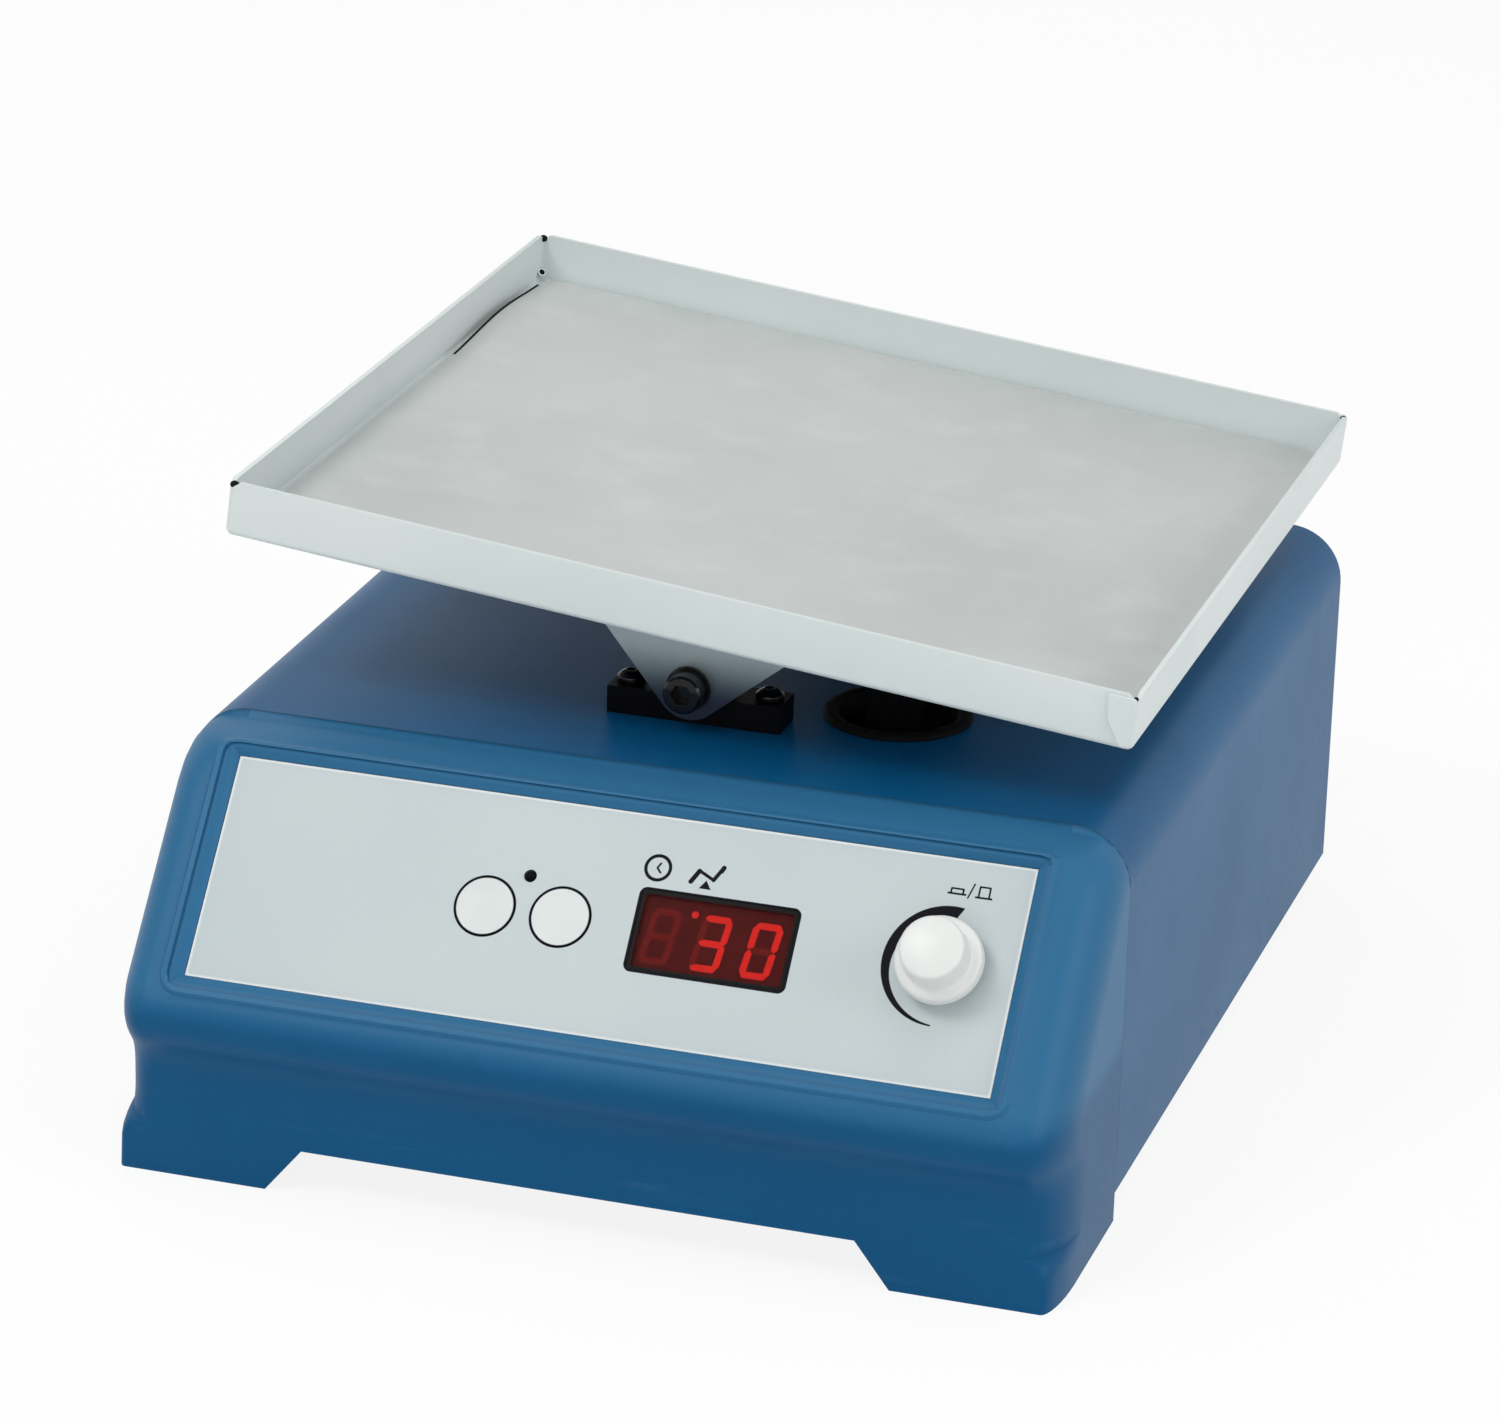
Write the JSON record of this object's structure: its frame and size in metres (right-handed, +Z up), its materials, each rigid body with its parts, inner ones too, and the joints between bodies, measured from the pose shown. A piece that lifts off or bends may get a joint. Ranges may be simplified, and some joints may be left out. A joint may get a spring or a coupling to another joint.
{
  "type": "rocking platform shaker",
  "caption": "Benchtop rocking shaker: a square tray tilts from side to side on a low moulded housing with a sloping control panel.",
  "frame": {"origin": "on the bench, under the middle of the object's box, with the tray at its rest tilt", "axes": "+X to the right of someone facing the control panel, +Y to the back, +Z up; the rocking axis lies along Y"},
  "size_m": [0.24, 0.2971, 0.1599],
  "materials": {
    "housing_blue": "moulded plastic, fine satin grain, blue",
    "zinc_sheet": "zinc-plated steel sheet",
    "black_rubber": "matt black rubber",
    "zinc_screw": "bright zinc-plated steel",
    "black_screw": "black oxide steel",
    "grey_film": "printed polyester film, silver-grey, satin",
    "red_filter": "clear red acrylic filter",
    "black_plastic": "black moulded plastic",
    "lit_segments": "red light-emitting segments",
    "pale_plastic": "light grey moulded plastic",
    "board_green": "green circuit board",
    "white_plastic": "white moulded plastic",
    "dark_steel": "dark painted or oiled steel",
    "plated_brass": "nickel-plated brass",
    "pale_paint": "pale grey-white powder coat on steel sheet",
    "grey_mat": "grey non-slip sheet",
    "grey_sheet": "grey painted steel sheet",
    "bush_bronze": "sintered bronze",
    "black_block": "black machined plastic",
    "zinc_casting": "die-cast zinc alloy"
  },
  "bodies": {
    "base": {"housing": "housing_blue", "front_bezel": "housing_blue", "rear_panel": "housing_blue", "base_plate": "zinc_sheet", "rubber_feet": "black_rubber", "base_screws": "zinc_screw", "rear_screws": "black_screw", "control_overlay": "grey_film", "display_window": "red_filter", "display_module": "black_plastic", "display_segments": "lit_segments", "indicator_lamp": "black_plastic", "button_switches": "black_plastic", "control_board": "board_green", "board_screws": "zinc_screw", "speed_control": "black_plastic", "control_nut": "zinc_screw", "power_board": "board_green", "board_spacers": "white_plastic", "transformer": "dark_steel", "mains_inlet": "black_plastic", "inlet_pins": "plated_brass", "inlet_screws": "zinc_screw", "pivot_screws": "black_screw", "pivot_washers": "zinc_screw", "front_block": "black_block", "rear_block": "black_block", "block_screws": "black_screw", "drive_grommet": "black_rubber", "gearbox": "zinc_casting", "motor": "dark_steel", "motor_bracket": "zinc_sheet", "bracket_screws": "zinc_screw"},
    "platform": {"tray": "pale_paint", "nonslip_mat": "grey_mat", "cradle": "grey_sheet", "cradle_rivets": "zinc_screw", "pivot_bushes": "bush_bronze", "drive_arm": "grey_sheet", "arm_screws": "zinc_screw"},
    "crank": {"crank_disc": "dark_steel", "crank_pin": "zinc_screw", "output_shaft": "zinc_screw"},
    "roller": {"crank_roller": "pale_plastic"},
    "push": {"switch_plunger": "pale_plastic"},
    "knob": {"knob": "white_plastic", "knob_shaft": "zinc_screw"},
    "start": {"start_button": "pale_plastic"},
    "mode": {"mode_button": "pale_plastic"}
  },
  "joints": [
    {"name": "platform_rock", "type": "hinge", "parent": "base", "child": "platform", "pos_m": [0, 0.03058, 0.1128], "axis": [0, 1, 0], "range_deg": [-13.1, 0.9]},
    {"name": "crank_turn", "type": "hinge", "parent": "base", "child": "crank", "pos_m": [0.046, -0.03352, 0.081], "axis": [0, 1, 0], "range_deg": [-168.5, 11.6]},
    {"name": "roller_spin", "type": "hinge", "parent": "crank", "child": "roller", "pos_m": [0.04713, -0.03352, 0.07551], "axis": [0, 1, 0], "continuous": true},
    {"name": "knob_push", "type": "slide", "parent": "base", "child": "push", "axis": [0, -0.7683, 0.6401], "range_m": [-0.0005, 0.002]},
    {"name": "knob_turn", "type": "hinge", "parent": "push", "child": "knob", "pos_m": [0.0835, -0.12146, 0.07533], "axis": [0, -0.7683, 0.6401], "range_deg": [-135, 135]},
    {"name": "start_press", "type": "slide", "parent": "base", "child": "start", "axis": [0, 0.7683, -0.6401], "range_m": [0, 0.0006], "stiffness_N_per_m": 1000, "springref_m": -0.001},
    {"name": "mode_press", "type": "slide", "parent": "base", "child": "mode", "axis": [0, 0.7683, -0.6401], "range_m": [0, 0.0006], "stiffness_N_per_m": 1000, "springref_m": -0.001}
  ],
  "couplings": [
    {"joint": "crank_turn", "follows": "platform_rock", "ratio": 12.857}
  ]
}
